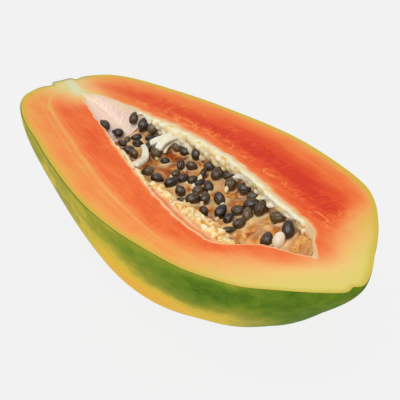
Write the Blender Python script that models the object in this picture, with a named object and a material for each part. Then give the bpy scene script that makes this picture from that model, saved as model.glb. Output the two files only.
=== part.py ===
"""Half of a ripe papaya, cut lengthwise and lying on its belly with the seeds still in it.

The stem end is at -X, the blossom end at +X and the cut face is flat, facing +Z.
A papaya is a berry of five joined lobes, so each section is a round with five low
ridges. The knife went through the axis, which leaves two and a half lobes below it.
The half rests on a small flat spot of its belly. Two solids: the fruit and the bed
of seeds and pulp that lies in its seed cavity.
"""

import math

import bmesh
import bpy
import numpy as np

# Driving dimensions, in metres.
LENGTH = 0.254
HALF_WIDTH = 0.0625
HEIGHT = 0.0690
SEED_LENGTH = 0.0065
GAP = 0.0005

# The whole fruit's outline: share of LENGTH from the stem, share of HALF_WIDTH.
# It runs from the middle of the stem scar over the shoulder to the blossom dimple.
OUTLINE = (
    (0.001, 0.0),
    (0.002, 0.095),
    (0.013, 0.12),
    (0.010, 0.20),
    (0.018, 0.33),
    (0.045, 0.48),
    (0.115, 0.63),
    (0.33, 0.865),
    (0.56, 1.0),
    (0.75, 0.915),
    (0.87, 0.672),
    (0.94, 0.395),
    (0.98, 0.205),
    (0.998, 0.088),
    (0.999, 0.05),
    (0.994, 0.0),
)
# How the axis bows sideways: share of LENGTH, metres towards +Y.
BOW = (
    (0.0, -0.0035),
    (0.17, -0.0025),
    (0.33, 0.0),
    (0.5, 0.0023),
    (0.65, 0.003),
    (0.76, 0.003),
    (0.83, 0.001),
    (0.9, -0.0014),
    (1.0, -0.0008),
)
# Depth of the belly as a share of the half width: share of LENGTH, depth.
BELLY = (
    (0.0, 0.68),
    (0.12, 0.76),
    (0.24, 0.87),
    (0.36, 1.07),
    (0.48, 1.13),
    (0.6, 1.09),
    (0.72, 0.965),
    (0.84, 0.86),
    (1.0, 0.77),
)
# Five lobes. The crests rise above the mean radius by about this share of it.
LOBES = 5
LOBE_RISE = 0.018
GROOVE_SOFTNESS = 0.02
# The swell's mean over the round, so that the lobes leave the mean radius alone.
SWELL_MEAN = 0.65
# The first groove winds down from the -Y edge of the cut: share of LENGTH, degrees.
FIRST_GROOVE = (
    (0.0, -25),
    (0.15, -14),
    (0.25, 1),
    (0.3, 11),
    (0.4, 22),
    (0.55, 33),
    (0.7, 42),
    (0.83, 48),
    (1.0, 49),
)

# The seed cavity: share of LENGTH, near edge and far edge in Y, depth, all in metres.
CAVITY = (
    (0.090, -0.0022, -0.0022, 0.0),
    (0.114, -0.0045, 0.0025, 0.004),
    (0.181, -0.0090, 0.0094, 0.010),
    (0.276, -0.0140, 0.0140, 0.016),
    (0.398, -0.0205, 0.0200, 0.022),
    (0.504, -0.0255, 0.0220, 0.026),
    (0.622, -0.0295, 0.0200, 0.028),
    (0.720, -0.0300, 0.0165, 0.026),
    (0.772, -0.0265, 0.0153, 0.022),
    (0.815, -0.0125, 0.0143, 0.015),
    (0.862, -0.0053, 0.0065, 0.007),
    (0.894, 0.0009, 0.0009, 0.0),
)
# The wall's height follows the sine to this power: under 1 the floor is rounder.
CAVITY_SQUARENESS = 0.8

# The bed of seeds and pulp: share of LENGTH, how far its rim lies below the cut face
# and how far its hollow middle lies below its rim, in metres.
BED = (
    (0.22, 0.0085, 0.0010),
    (0.32, 0.0075, 0.0035),
    (0.45, 0.0055, 0.0060),
    (0.60, 0.0045, 0.0065),
    (0.75, 0.0045, 0.0060),
    (0.835, 0.0055, 0.0020),
)
# The lumps of its top: their height, and their distance in seed lengths.
BED_LUMP = 0.0008
LUMP_SPACING = 3
# Its ends round off where the turn's sine is below this, and shrink to a point at this
# share of the cavity's depth.
BED_FULL = 0.4
BED_CORE = 0.75

# Fineness of the solids.
FRUIT_AROUND, FRUIT_ALONG = 56, 44
CAVITY_AROUND, CAVITY_ALONG = 40, 44
BED_AROUND, BED_ALONG = 40, 40
SHARP_ANGLE = math.radians(40.0)


def through(knots, along):
    """The smooth curve through knots of (place, value) at the place along."""
    places = [knot[0] for knot in knots]
    values = [knot[1] for knot in knots]
    slopes = np.gradient(values, places)
    along = min(max(along, places[0]), places[-1])
    i = min(int(np.searchsorted(places, along, side="right")) - 1, len(knots) - 2)
    span = places[i + 1] - places[i]
    u = (along - places[i]) / span
    start = values[i] * (1 + 2 * u) * (1 - u) ** 2 + slopes[i] * span * u * (1 - u) ** 2
    end = values[i + 1] * u * u * (3 - 2 * u) - slopes[i + 1] * span * u * u * (1 - u)
    return start + end


def outline_at(turn):
    """The outline's (share of LENGTH, share of HALF_WIDTH) at turn 0 to 1, stem to tip.
    The knots are spaced by the root of their distance, so short steps get more rings."""
    steps = [math.sqrt(math.dist(a, b)) for a, b in zip(OUTLINE, OUTLINE[1:])]
    places = np.concatenate(([0.0], np.cumsum(steps))) / sum(steps)
    share = through([(p, knot[0]) for p, knot in zip(places, OUTLINE)], turn)
    width = through([(p, knot[1]) for p, knot in zip(places, OUTLINE)], turn)
    return share, max(width, 0.0)


def lobed(share, angle):
    """The lobes' factor on the radius at an angle down from the -Y edge of the cut:
    round crests with narrower grooves between them."""
    from_groove = angle - math.radians(through(FIRST_GROOVE, share))
    swell = math.sqrt(math.sin(LOBES * from_groove / 2) ** 2 + GROOVE_SOFTNESS)
    return 1.0 + 2 * LOBE_RISE * (swell - SWELL_MEAN)


def fruit_point(turn, angle):
    """A point of the whole fruit's skin, with the axis at the height of the cut."""
    share, width = outline_at(turn)
    radius = width * HALF_WIDTH * lobed(share, angle)
    side = through(BOW, share) - radius * math.cos(angle)
    return (share - 0.5) * LENGTH, side, -radius * through(BELLY, share) * math.sin(angle)


def cavity_section(share):
    """The cavity's middle, half width and depth at a share of LENGTH."""
    near = through([(knot[0], knot[1]) for knot in CAVITY], share)
    far = through([(knot[0], knot[2]) for knot in CAVITY], share)
    depth = through([(knot[0], knot[3]) for knot in CAVITY], share)
    return (near + far) / 2, (far - near) / 2, depth


def wall_height(depth, angle):
    """The height of the cavity's wall at an angle down from the -Y edge of the cut."""
    sine = math.sin(angle)
    return -depth * math.copysign(abs(sine) ** CAVITY_SQUARENESS, sine)


def lengthwise(knots, turn):
    """The share of LENGTH at turn 0 to 1 from the first knot to the last, closer at the ends."""
    start, end = knots[0][0], knots[-1][0]
    return start + (end - start) * (1 - math.cos(math.pi * turn)) / 2


def cavity_point(turn, angle):
    """A point of the cutter for the cavity: its upper half clears the cut face."""
    share = lengthwise(CAVITY, turn)
    middle, half, depth = cavity_section(share)
    return (share - 0.5) * LENGTH, middle - half * math.cos(angle), wall_height(depth, angle)


def bed_lumps(share, side):
    """Seed-sized unevenness of the bed's top: two wavy trains of lumps that cross."""
    pitch = 2 * math.pi / (LUMP_SPACING * SEED_LENGTH)
    along = share * LENGTH * pitch
    across = side * pitch
    return BED_LUMP * (math.sin(along + math.sin(across)) + math.sin(1.4 * across - 0.6 * along))


def bed_point(turn, angle):
    """A point of the seed bed: the lower half follows the cavity's wall from rim to rim,
    and the upper half is the bed's own top, hollow along the middle."""
    share = lengthwise(BED, turn)
    middle, half, depth = cavity_section(share)
    half -= GAP
    depth -= 2 * GAP
    rim = through([(knot[0], knot[1]) for knot in BED], share)
    sag = through([(knot[0], knot[2]) for knot in BED], share)
    rim_angle = math.asin((rim / depth) ** (1 / CAVITY_SQUARENESS))
    if angle <= math.pi:
        wall_angle = rim_angle + (math.pi - 2 * rim_angle) * angle / math.pi
        side = half * math.cos(wall_angle)
        height = wall_height(depth, wall_angle)
    else:
        side = half * math.cos(rim_angle) * math.cos(angle)
        inward = abs(math.sin(angle))
        height = -rim + (bed_lumps(share, side) - sag) * inward
    swell = min(1.0, math.sin(math.pi * turn) / BED_FULL) ** 0.5
    core = -BED_CORE * depth
    return (share - 0.5) * LENGTH, middle - side * swell, core + (height - core) * swell


def rounded_form(name, point, around, along):
    """An object whose mesh is a sphere with its poles at the ends of the fruit, each
    vertex moved to point(turn along the fruit, angle down from the -Y edge)."""
    shape = bmesh.new()
    bmesh.ops.create_uvsphere(shape, u_segments=around, v_segments=along, radius=1.0)
    for vertex in shape.verts:
        turn = math.acos(min(max(-vertex.co.z, -1.0), 1.0)) / math.pi
        angle = math.atan2(vertex.co.y, vertex.co.x) % (2 * math.pi)
        vertex.co = point(turn, angle)
    mesh = bpy.data.meshes.new(name)
    shape.to_mesh(mesh)
    shape.free()
    return bpy.data.objects.new(name, mesh)


def slice_flat(piece, height, upper):
    """Cuts the piece level at this height and closes it, taking away what lies above or below."""
    shape = bmesh.new()
    shape.from_mesh(piece.data)
    cut = bmesh.ops.bisect_plane(
        shape,
        geom=shape.verts[:] + shape.edges[:] + shape.faces[:],
        dist=1e-6,
        plane_co=(0, 0, height),
        plane_no=(0, 0, 1 if upper else -1),
        clear_outer=True,
    )
    rim = [item for item in cut["geom_cut"] if isinstance(item, bmesh.types.BMEdge)]
    bmesh.ops.contextual_create(shape, geom=rim)
    bmesh.ops.recalc_face_normals(shape, faces=shape.faces)
    shape.to_mesh(piece.data)
    shape.free()


def finish(name, colour, roughness):
    """A matt or glossy material that is no metal."""
    material = bpy.data.materials.new(name)
    material.use_nodes = True
    shader = material.node_tree.nodes["Principled BSDF"]
    shader.inputs["Base Color"].default_value = (*colour, 1.0)
    shader.inputs["Roughness"].default_value = roughness
    shader.inputs["Metallic"].default_value = 0.0
    return material


def smooth_rounds(piece):
    """Shades the round faces smooth and keeps the knife's edges sharp."""
    piece.data.shade_smooth()
    piece.data.set_sharp_from_angle(angle=SHARP_ANGLE)


def papaya_half():
    """The fruit: the whole berry cut flat, with its rest spot."""
    fruit = rounded_form("papaya_half", fruit_point, FRUIT_AROUND, FRUIT_ALONG)
    slice_flat(fruit, 0.0, upper=True)
    slice_flat(fruit, -HEIGHT, upper=False)
    fruit.data.materials.append(finish("papaya_flesh", (0.86, 0.22, 0.05), 0.45))
    smooth_rounds(fruit)
    return fruit


def seed_bed():
    """Seeds and pulp as one uneven heap, GAP off the cavity's wall."""
    bed = rounded_form("seed_bed", bed_point, BED_AROUND, BED_ALONG)
    bed.data.materials.append(finish("papaya_seed_bed", (0.09, 0.06, 0.04), 0.35))
    smooth_rounds(bed)
    return bed


def collection_of(name):
    """A new collection in the scene."""
    made = bpy.data.collections.new(name)
    bpy.context.scene.collection.children.link(made)
    return made


def hollow(piece, cutter, cutters):
    """Takes the cutter's shape out of the piece, and keeps the cutter out of the model."""
    cutter.hide_render = True
    cutter.display_type = "WIRE"
    cutters.objects.link(cutter)
    cut = piece.modifiers.new("seed_cavity", "BOOLEAN")
    cut.operation = "DIFFERENCE"
    cut.solver = "EXACT"
    cut.object = cutter


def stand_on_origin(pieces):
    """Parents the pieces to an empty that puts the middle of the fruit's underside at the origin."""
    corners = np.array([corner for corner in pieces[0].bound_box])
    middle = (corners.min(axis=0) + corners.max(axis=0)) / 2
    origin = bpy.data.objects.new("papaya_origin", None)
    bpy.context.scene.collection.objects.link(origin)
    origin.location = (-middle[0], -middle[1], HEIGHT)
    for piece in pieces:
        piece.parent = origin


def build():
    """Makes the whole model in an empty scene."""
    for leftover in list(bpy.data.objects):
        bpy.data.objects.remove(leftover, do_unlink=True)
    parts = collection_of("papaya_half_parts")
    cutters = collection_of("cutters")
    fruit = papaya_half()
    bed = seed_bed()
    parts.objects.link(fruit)
    parts.objects.link(bed)
    cavity = rounded_form("cavity_form", cavity_point, CAVITY_AROUND, CAVITY_ALONG)
    hollow(fruit, cavity, cutters)
    stand_on_origin([fruit, bed, cavity])


build()
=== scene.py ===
"""The looks of half a papaya, cut lengthwise, with the seeds in its cavity.

The fruit is one fine closed mesh of peel, cut face and cavity wall, on the same form as
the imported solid. In the cavity lie a bed of pulp, the seed-bearing ridges along both
sides, the stalks that hold the seeds, and the seeds. Lengths are in metres.
"""

import math
from functools import reduce

import bmesh
import bpy
import numpy as np
from mathutils import Matrix, Vector, noise
from mathutils.kdtree import KDTree


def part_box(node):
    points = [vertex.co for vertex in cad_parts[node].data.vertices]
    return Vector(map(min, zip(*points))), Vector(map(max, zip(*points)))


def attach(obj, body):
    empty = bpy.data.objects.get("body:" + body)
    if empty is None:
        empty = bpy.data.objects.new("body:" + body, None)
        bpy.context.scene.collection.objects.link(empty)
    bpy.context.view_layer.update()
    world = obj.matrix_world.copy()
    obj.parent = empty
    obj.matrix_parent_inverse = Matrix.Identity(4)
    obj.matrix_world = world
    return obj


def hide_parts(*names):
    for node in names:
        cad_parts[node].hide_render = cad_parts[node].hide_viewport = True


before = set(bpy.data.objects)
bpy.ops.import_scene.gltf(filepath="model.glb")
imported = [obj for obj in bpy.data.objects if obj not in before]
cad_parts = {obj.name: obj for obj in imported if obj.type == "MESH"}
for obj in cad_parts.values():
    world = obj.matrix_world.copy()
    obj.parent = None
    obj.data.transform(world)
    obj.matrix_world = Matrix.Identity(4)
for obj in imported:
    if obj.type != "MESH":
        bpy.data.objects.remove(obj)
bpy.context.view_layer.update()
LOW, HIGH = (np.array(corner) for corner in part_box("papaya_half"))
LENGTH, WIDTH, HEIGHT = HIGH - LOW
HALF_WIDTH = WIDTH / 2
CUT = HIGH[2]
MM = 0.001

# The form of the fruit, as in the solid: share of the length, share of the half width.
OUTLINE = (
    (0.001, 0.0), (0.002, 0.095), (0.013, 0.12), (0.01, 0.2), (0.018, 0.33), (0.045, 0.48),
    (0.115, 0.63), (0.33, 0.865), (0.56, 1.0), (0.75, 0.915), (0.87, 0.672), (0.94, 0.395),
    (0.98, 0.205), (0.998, 0.088), (0.999, 0.05), (0.994, 0.0),
)
# The axis's bow towards +Y in metres, and the belly's depth as a share of the half width.
BOW = (
    (0.0, -0.0035), (0.17, -0.0025), (0.33, 0.0), (0.5, 0.0023), (0.65, 0.003), (0.76, 0.003),
    (0.83, 0.001), (0.9, -0.0014), (1.0, -0.0008),
)
BELLY = (
    (0.0, 0.68), (0.12, 0.76), (0.24, 0.87), (0.36, 1.07), (0.48, 1.13), (0.6, 1.09),
    (0.72, 0.965), (0.84, 0.86), (1.0, 0.77),
)
# The lobes: how many, their rise as a share of the radius, how soft the grooves between
# them are, and the mean of their swell, which keeps the mean radius.
LOBES = 5
LOBE_RISE = 0.018
GROOVE_SOFTNESS = 0.02
SWELL_MEAN = 0.65
# Where the first groove lies, in degrees down from the -Y edge of the cut.
FIRST_GROOVE = (
    (0.0, -25), (0.15, -14), (0.25, 1), (0.3, 11), (0.4, 22), (0.55, 33), (0.7, 42), (0.83, 48),
    (1.0, 49),
)
# The cavity: share of the length, near edge and far edge in Y, depth, in metres. Its
# section is an ellipse at squareness 1 and squarer below that.
CAVITY = (
    (0.09, -0.0022, -0.0022, 0.0), (0.114, -0.0045, 0.0025, 0.004),
    (0.181, -0.009, 0.0094, 0.01), (0.276, -0.014, 0.014, 0.016), (0.398, -0.0205, 0.02, 0.022),
    (0.504, -0.0255, 0.022, 0.026), (0.622, -0.0295, 0.02, 0.028), (0.72, -0.03, 0.0165, 0.026),
    (0.772, -0.0265, 0.0153, 0.022), (0.815, -0.0125, 0.0143, 0.015),
    (0.862, -0.0053, 0.006, 0.007), (0.899, 0.0007, 0.0007, 0.0),
)
CAVITY_SQUARENESS = 0.8
# Where the pale line on the membrane runs: share of the length, share of the way round.
MEMBRANE_LINE = ((0.09, 0.66), (0.19, 0.66), (0.3, 0.57), (0.4, 0.5))

# The pulp under the seeds: share of the length, depth of its middle; how much higher it
# lies along the near and the far wall; and the shares where it starts and ends.
PULP = (
    (0.25, 0.0125), (0.29, 0.014), (0.35, 0.015), (0.45, 0.0155), (0.6, 0.0155), (0.7, 0.015),
    (0.78, 0.0125), (0.86, 0.007),
)
PULP_NEAR_RISE = 0.0015
PULP_FAR_RISE = 0.0045
PULP_ENDS = (0.252, 0.868)
# The one deep hollow in the pulp: its place along the fruit and its side.
HOLLOW_ALONG = 0.055
HOLLOW_SIDE = 0.2
# The shelf of granular pulp on the near wall, in millimetres: place along the fruit, the
# shelf's width, and its depth at the inner edge. Then its depth at the wall, in metres.
SHELF = (
    (-24, 0, 1.5), (-14, 1.0, 2), (-5, 2.0, 2.5), (3, 4.5, 3.5), (9, 8, 4.5), (19, 11, 5.5),
    (30, 14, 6), (42, 16, 6.5), (53, 15.5, 6.5), (60, 12.5, 6), (67, 8.5, 4.5), (73, 4, 3),
    (78, 0, 2),
)
SHELF_RIM = 0.0009

# The seeds: place along the fruit in millimetres from its middle, side of the cavity from
# -1 at the near wall to 1 at the far one, turn in degrees, and size against its
# neighbours. A turn is taken in a plane that slopes up and back across the cavity.
SEEDS = {
    "plump": (
        (-68, 0.85, 75, 1.1), (-52, 0.9, 40, 1.15), (-48, 0.86, 0, 0.9), (-58, -0.01, 60, 0.75),
        (-49, -0.25, 170, 1.1), (-38, 0.33, 98, 1.3), (-29, 0.33, -10, 0.85),
        (-32, 0.83, -30, 0.95), (-26, 0.86, 15, 1.0), (-18, 0.9, 75, 1.25),
        (-24, -0.33, 30, 1.12), (-13, 0.59, -25, 1.0), (-15, 0.21, 40, 0.85),
        (-8, 0.23, 30, 1.0), (-3, 0.38, 25, 0.9), (-5, 0.86, 5, 1.0), (4, 0.77, 60, 1.1),
        (6, 0.24, 20, 0.9), (8, 0.44, 100, 0.95), (12, -0.02, 20, 1.1), (15, 0.15, 70, 0.95),
        (21, 0.41, 110, 1.0), (37, 0.24, 50, 0.8), (35, 0.52, 0, 0.95), (16, 0.79, 60, 1.0),
        (25, 0.93, -20, 1.0), (33, 0.93, 20, 0.95), (38.5, 0.78, 5, 1.1), (44, 0.82, 50, 1.0),
        (42, 0.55, 80, 0.9), (44, 0.32, 35, 0.9), (57, 0.93, -10, 1.05), (65, 0.36, 60, 0.88),
    ),
    "pointed": (
        (-75, -0.4, 132, 1.2), (-67, -0.03, 170, 1.12), (-59, 0.8, 250, 1.3),
        (-53, 0.27, -5, 1.0), (-43, 0.38, -80, 1.15), (-43, -0.25, -65, 1.0),
        (-15, -0.28, -20, 1.12), (2, -0.09, 120, 1.0), (25, -0.05, -60, 0.8),
    ),
    "wrinkled": (
        (-51, 0.72, 200, 0.9), (-57, 0.4, 190, 1.0), (-57, -0.21, 150, 0.85),
        (-19, 0.46, 85, 1.0), (-7, -0.11, 30, 1.25), (31, 0.2, 60, 1.05), (69.5, 0.76, 85, 1.0),
    ),
    "slim": (
        (-2, 0.56, 65, 1.1), (-1, 0.42, 25, 0.95), (10, 0.95, 15, 1.2), (9, -0.17, -10, 0.8),
        (45, 0.04, 10, 0.9),
    ),
}
PALE_SEED = (71, 0.43, 70, 0.95)
# Each kind's width and thickness as shares of its length, its folds, and its lightness.
SEED_KINDS = {
    "plump": (0.76, 0.7, 0.022, 0.6),
    "pointed": (0.76, 0.7, 0.035, 0.5),
    "wrinkled": (0.66, 0.6, 0.09, 0.1),
    "slim": (0.46, 0.42, 0.04, 0.3),
    "pale": (0.76, 0.7, 0.022, 0.6),
}
# The plane of the turns: its level line's direction, and its slope, in degrees.
SEED_PLANE_TURN = 56
SEED_PLANE_SLOPE = 42
# Seeds under the near rim, out of sight from the far side: their side, and their first
# place, limit and spacing in millimetres.
NEAR_ROW = -0.84
NEAR_ROW_MM = (-46, -19, 8.5)
# The stalks of single seeds: (along in mm, side, depth in mm) of each point from the
# ridge to the seed, then the radius at both ends in mm.
STALKS = (
    (((-35, 0.97, 2), (-38, 0.74, 4.5), (-41, 0.55, 6.5), (-43, 0.36, 8.5)), (1.7, 1.9)),
    (((-33, 0.95, 2.5), (-36, 0.71, 5), (-37, 0.51, 7), (-36, 0.36, 9)), (2.0, 2.2)),
    (((-33, 0.95, 4), (-35, 0.82, 7), (-36, 0.66, 9), (-34, 0.48, 11)), (1.4, 1.0)),
    (
        ((-46, 0.2, 10.5), (-40, 0.05, 10), (-31, -0.25, 9), (-24, -0.58, 6.5), (-19, -0.8, 4.2)),
        (1.4, 2.7),
    ),
    (((-43, 0.98, 1.2), (-46, 0.92, 2.5), (-49, 0.88, 3.8)), (1.4, 1.2)),
    (((-39, 0.98, 1.2), (-42, 0.92, 2.8), (-44, 0.86, 4.5)), (1.3, 1.1)),
    (((-64, 0.97, 1.0), (-66, 0.92, 1.8)), (0.8, 0.6)),
    (((-56, 0.97, 1.0), (-58, 0.92, 1.8)), (0.9, 0.7)),
    (((-27, 0.98, 2), (-29, 0.93, 4), (-31, 0.88, 6)), (1.5, 1.2)),
    (((-21, 0.98, 2), (-23, 0.94, 4), (-25, 0.9, 6)), (1.4, 1.1)),
    (((24, 0.98, 2), (21, 0.95, 3), (18, 0.92, 4)), (1.6, 1.2)),
    (((34, 0.99, 1), (27, 0.96, 2), (20, 0.91, 4), (15, 0.86, 6)), (1.3, 0.9)),
    (((56, 1.0, 0.8), (50, 0.98, 1.5), (45, 0.94, 3), (41, 0.87, 5)), (1.0, 0.8)),
    (((69, 0.97, 1.2), (66, 0.94, 2.2), (62, 0.92, 3)), (1.0, 0.9)),
    (((52, 1.0, 2.5), (50, 0.95, 4), (48, 0.93, 4.5)), (1.5, 2.0)),
)

# How green the peel is along the fruit, on the lobes and in the grooves between them.
CREST_GREEN = (
    (0, 0.55), (0.12, 0.46), (0.2, 0.57), (0.3, 0.55), (0.4, 0.58), (0.5, 0.58), (0.6, 0.6),
    (0.7, 0.76), (0.8, 0.92), (0.88, 0.88), (1, 0.9),
)
GROOVE_GREEN = (
    (0, 0.5), (0.12, 0.42), (0.2, 0.5), (0.3, 0.47), (0.4, 0.46), (0.5, 0.3), (0.6, 0.08),
    (0.7, 0.13), (0.8, 0.28), (0.88, 0.54), (0.94, 0.86), (1, 0.9),
)
# Ripeness across each side of the cut face, from 0 at the peel to 1 at the cavity, and
# across the blossom end; then the share of it reached along the fruit on each side.
NEAR_RIPENESS = (
    (0, 0.0), (0.03, 0.05), (0.14, 0.2), (0.3, 0.34), (0.42, 0.42), (0.56, 0.58), (0.75, 0.66),
    (1, 0.6),
)
FAR_RIPENESS = (
    (0, 0.0), (0.03, 0.1), (0.13, 0.42), (0.27, 0.62), (0.4, 0.82), (0.55, 1.0), (0.68, 0.97),
    (0.8, 0.75), (1, 0.5),
)
END_RIPENESS = ((0, 0.0), (0.2, 0.12), (0.45, 0.28), (0.65, 0.48), (0.8, 0.6), (1, 0.64))
NEAR_RIPENING = (
    (0, 0.3), (0.03, 0.6), (0.07, 0.85), (0.12, 0.93), (0.3, 0.96), (0.65, 0.97), (0.76, 1.0),
    (0.86, 0.9), (0.93, 0.45), (1, 0.05),
)
FAR_RIPENING = (
    (0, 0.3), (0.05, 0.5), (0.1, 0.62), (0.18, 0.76), (0.3, 0.83), (0.42, 0.97), (0.7, 1),
    (0.82, 1), (0.9, 0.9), (0.95, 0.5), (1, 0.05),
)
# Pale streaks in the near side: the path of the main one across the flesh, and each
# one's distance from it, width and strength.
STREAK_PATH = (
    (0, 1.0), (0.02, 0.75), (0.045, 0.53), (0.1, 0.46), (0.18, 0.46), (0.42, 0.46),
    (0.62, 0.45), (0.74, 0.4),
)
STREAKS = ((0, 0.04, 0.2), (-0.1, 0.02, 0.1), (0.09, 0.018, 0.07))
# How wide the pale edge along the cavity is, in millimetres.
NEAR_EDGE_MM = (
    (0.1, 0.3), (0.25, 0.6), (0.36, 1.3), (0.5, 1.0), (0.6, 1.2), (0.75, 0.9), (0.88, 0.6),
)
FAR_EDGE_MM = (
    (0.1, 0.6), (0.2, 1.2), (0.28, 3.4), (0.34, 4.4), (0.42, 3.0), (0.8, 2.2), (0.9, 0.6),
)
# A brown spot on the stem's scar.
STEM_SPOT = np.array([-0.499 * LENGTH, -0.0085, 0.0])

# Fineness of the meshes: rings along the fruit, points round the peel, across the cut
# face on one side, and round the cavity's wall; rings of pulp and points across it; balls
# along the far crown; and the size of the ridges' voxels.
RINGS = 300
PEEL_AROUND = 130
FACE_ACROSS = 44
WALL_AROUND = 60
PULP_RINGS = 300
PULP_ACROSS = 110
CROWN_BALLS = 199
RIDGE_VOXEL = 0.00038

# The camera: its turn and rise in degrees, the point it looks at, its distance and lens.
CAMERA_TURN = 56.46
CAMERA_RISE = 30.0
CAMERA_TARGET = (0.0337, -0.0152, CUT)
CAMERA_DISTANCE = 0.4598
CAMERA_LENS_MM = 90.0
# The studio: the floor's glow, the room's grey and strength, and the key light's place,
# size and power in watts.
FLOOR_GLOW = 0.862
ROOM_GREY = 0.888
ROOM_STRENGTH = 0.68
KEY_LIGHT = ((0.30, -0.50, 0.95), 0.8, 6.2)


def through(knots, along):
    """The smooth curve through knots of (place, value) at the places along."""
    places, values = np.array(knots, float).T
    slopes = np.gradient(values, places)
    along = np.clip(along, places[0], places[-1])
    i = np.clip(np.searchsorted(places, along, side="right") - 1, 0, len(places) - 2)
    gap = places[i + 1] - places[i]
    u = (along - places[i]) / gap
    start = values[i] * (1 + 2 * u) * (1 - u) ** 2 + slopes[i] * gap * u * (1 - u) ** 2
    end = values[i + 1] * u * u * (3 - 2 * u) - slopes[i + 1] * gap * u * u * (1 - u)
    return start + end


def table(knots, column, places):
    """The smooth curve through one column of the knots at these places."""
    return through([(knot[0], knot[column]) for knot in knots], places)


def step(low, high, value):
    """0 below low, 1 above high, smooth between."""
    u = np.clip((value - low) / (high - low), 0, 1)
    return u * u * (3 - 2 * u)


def bump(centre, width, value):
    """1 at the centre, falling off smoothly over the width."""
    return np.exp(-(((value - centre) / width) ** 2))


def rough(points, size, seed=0):
    """Smooth noise from -1 to 1 at each point, with features of this size."""
    shift = Vector((7.3, 3.1, 5.7)) * seed
    flat = np.asarray(points, float).reshape(-1, 3) / size
    values = [noise.noise(Vector(p) + shift) for p in flat]
    return np.array(values).reshape(np.shape(points)[:-1])


def ridges(points, size, seed):
    """Noise from 0 to 1 with sharp crests, like folds of skin."""
    return 1 - 2 * np.abs(rough(points, size, seed))


# ---- the fruit's form


def outline_at(turn):
    """The outline's (share, width) at turn 0 to 1 from the stem to the blossom end."""
    steps = [math.sqrt(math.dist(a, b)) for a, b in zip(OUTLINE, OUTLINE[1:])]
    places = np.concatenate(([0.0], np.cumsum(steps))) / sum(steps)
    knots = [(at, *knot) for at, knot in zip(places, OUTLINE)]
    return table(knots, 1, turn), np.maximum(table(knots, 2, turn), 0.0)


def even_turns(count):
    """Turns whose rings are evenly spaced along the outline."""
    fine = np.linspace(0, 1, 4000)
    share, width = outline_at(fine)
    steps = np.hypot(np.diff(share * LENGTH), np.diff(width * HALF_WIDTH))
    travelled = np.concatenate(([0.0], np.cumsum(steps)))
    return np.interp(np.linspace(0, travelled[-1], count), travelled, fine)


def from_groove(share, angle):
    """The angle from the first groove, in radians."""
    return angle - np.radians(through(FIRST_GROOVE, share))


def lobed(share, angle):
    """The lobes' factor on the radius."""
    swell = np.sqrt(np.sin(LOBES * from_groove(share, angle) / 2) ** 2 + GROOVE_SOFTNESS)
    return 1.0 + 2 * LOBE_RISE * (swell - SWELL_MEAN)


def fruit_points(turn, angle):
    """Points of the peel, with the cut at height 0."""
    share, width = outline_at(turn)
    radius = width * HALF_WIDTH * lobed(share, angle)
    x = (share - 0.5) * LENGTH + 0 * angle
    y = through(BOW, share) - radius * np.cos(angle)
    z = -radius * through(BELLY, share) * np.sin(angle)
    return np.stack([x, y, np.maximum(z, -HEIGHT)], axis=-1)


def cavity_shares(count):
    """Shares of the length along the cavity, closer at its ends."""
    turn = np.linspace(0, 1, count)
    return CAVITY[0][0] + (CAVITY[-1][0] - CAVITY[0][0]) * (1 - np.cos(math.pi * turn)) / 2


def cavity_section(share):
    """The cavity's middle, half width and depth; its edges waver a little."""
    near, far, depth = (table(CAVITY, column, share) for column in (1, 2, 3))
    waver = 0.0002 * (np.sin(61 * share) + np.sin(143 * share + 2))
    waver = waver + 0.0001 * np.sin(317 * share + 4)
    return (near + far) / 2, (far - near) / 2 + waver * step(0, 0.004, depth), depth


def wall_points(share, angle, inward=0.0):
    """Points of the cavity's wall, moved inward by this much."""
    middle, half, depth = cavity_section(share)
    half = np.maximum(half - inward, 0.0)
    depth = np.maximum(depth - inward, 0.0)
    x = (share - 0.5) * LENGTH + 0 * angle
    y = middle - half * np.cos(angle)
    z = -depth * np.abs(np.sin(angle)) ** CAVITY_SQUARENESS
    return np.stack([x, y, z], axis=-1)


SKIN_TURNS = even_turns(RINGS)
SKIN_ANGLES = np.linspace(0, math.pi, PEEL_AROUND)
SKIN = fruit_points(SKIN_TURNS[:, None], SKIN_ANGLES[None, :])
FORM_LOW = SKIN.reshape(-1, 3).min(axis=0)
FORM_HIGH = SKIN.reshape(-1, 3).max(axis=0)


def to_frame(points):
    """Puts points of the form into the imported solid's box."""
    return (points - FORM_LOW) / (FORM_HIGH - FORM_LOW) * (HIGH - LOW) + LOW


# ---- meshes


def grid_faces(rows, columns, first=0):
    """Faces of a grid of points numbered row by row."""
    row, column = np.meshgrid(np.arange(rows - 1), np.arange(columns - 1), indexing="ij")
    corner = first + (row * columns + column).ravel()
    return np.stack([corner, corner + 1, corner + columns + 1, corner + columns], axis=1)


def mesh_piece(name, points, faces, fields, materials, face_materials=None):
    """An object from points and faces, with one number a point in each named field.
    Points that coincide are welded, so grids that share an edge become one surface, and
    open ends are closed."""
    mesh = bpy.data.meshes.new(name)
    mesh.from_pydata(points.tolist(), [], faces.tolist())
    for field_name, values in fields.items():
        add_field(mesh, field_name, values)
    for material in materials:
        mesh.materials.append(material)
    if face_materials is not None:
        mesh.polygons.foreach_set("material_index", np.asarray(face_materials, np.int32))
    shape = bmesh.new()
    shape.from_mesh(mesh)
    bmesh.ops.remove_doubles(shape, verts=shape.verts, dist=1e-6)
    bmesh.ops.dissolve_degenerate(shape, edges=shape.edges, dist=1e-7)
    bmesh.ops.holes_fill(shape, edges=[edge for edge in shape.edges if edge.is_boundary])
    bmesh.ops.recalc_face_normals(shape, faces=shape.faces)
    shape.to_mesh(mesh)
    shape.free()
    mesh.shade_smooth()
    piece = bpy.data.objects.new(name, mesh)
    bpy.context.scene.collection.objects.link(piece)
    return piece


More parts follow.
